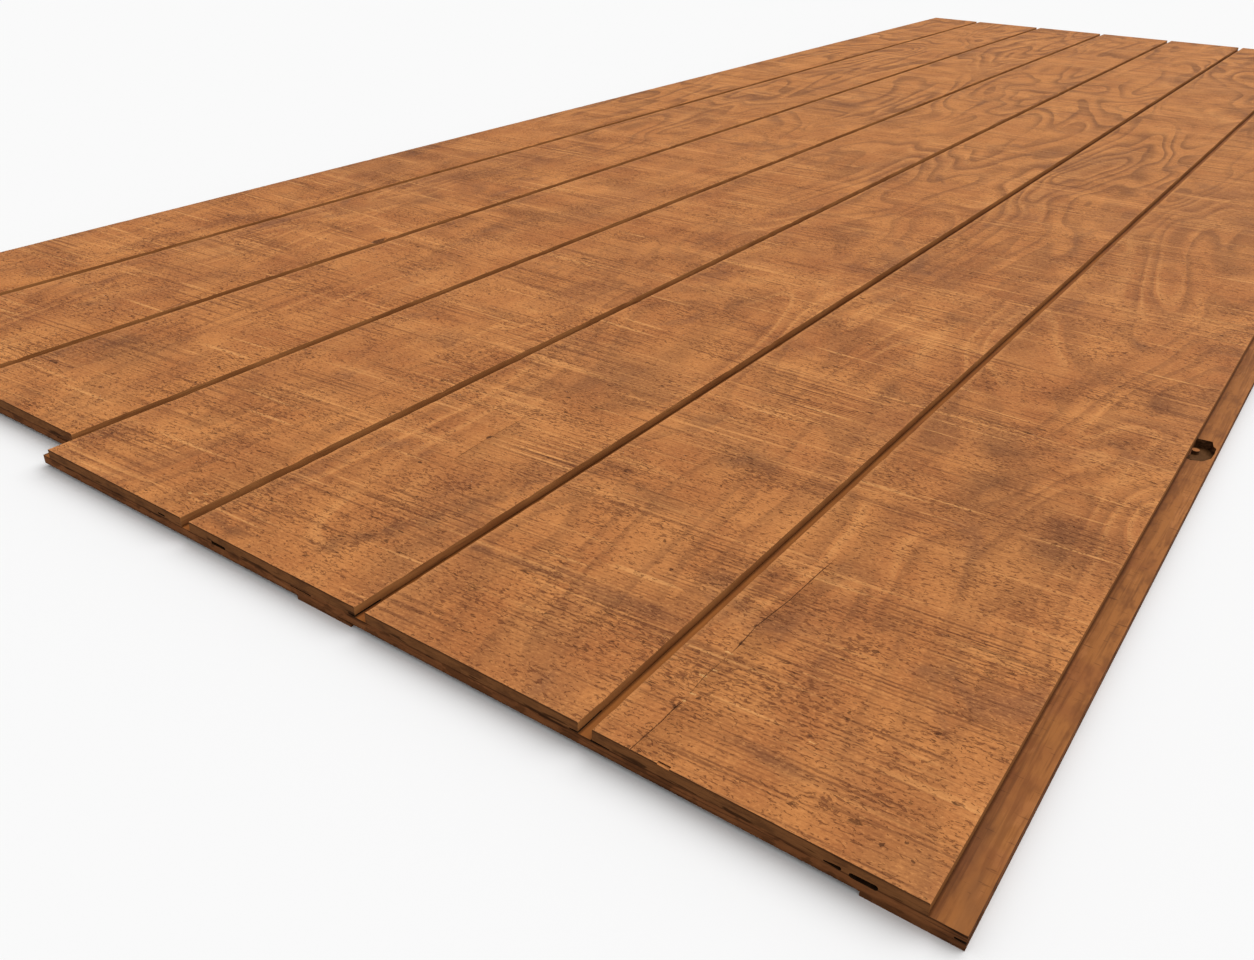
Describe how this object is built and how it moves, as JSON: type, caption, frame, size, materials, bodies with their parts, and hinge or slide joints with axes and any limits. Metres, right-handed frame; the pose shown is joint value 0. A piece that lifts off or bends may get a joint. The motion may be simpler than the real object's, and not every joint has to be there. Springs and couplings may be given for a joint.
{
  "type": "grooved plywood panel",
  "caption": "Long flat plywood panel with square grooves along its length, a ledge on one long edge and a matching lip on the other, and one worn end.",
  "frame": {"origin": "middle of the sheet's outline, on its back face", "axes": "+Z out of the grooved face, +Y along the grooves away from the worn end, +X towards the edge with the ledge"},
  "size_m": [1.22, 3.05, 0.018],
  "materials": {
    "stained_plywood": "rough-sawn face with a brown stain"
  },
  "bodies": {
    "root": {"grooved_panel": "stained_plywood"}
  },
  "joints": []
}
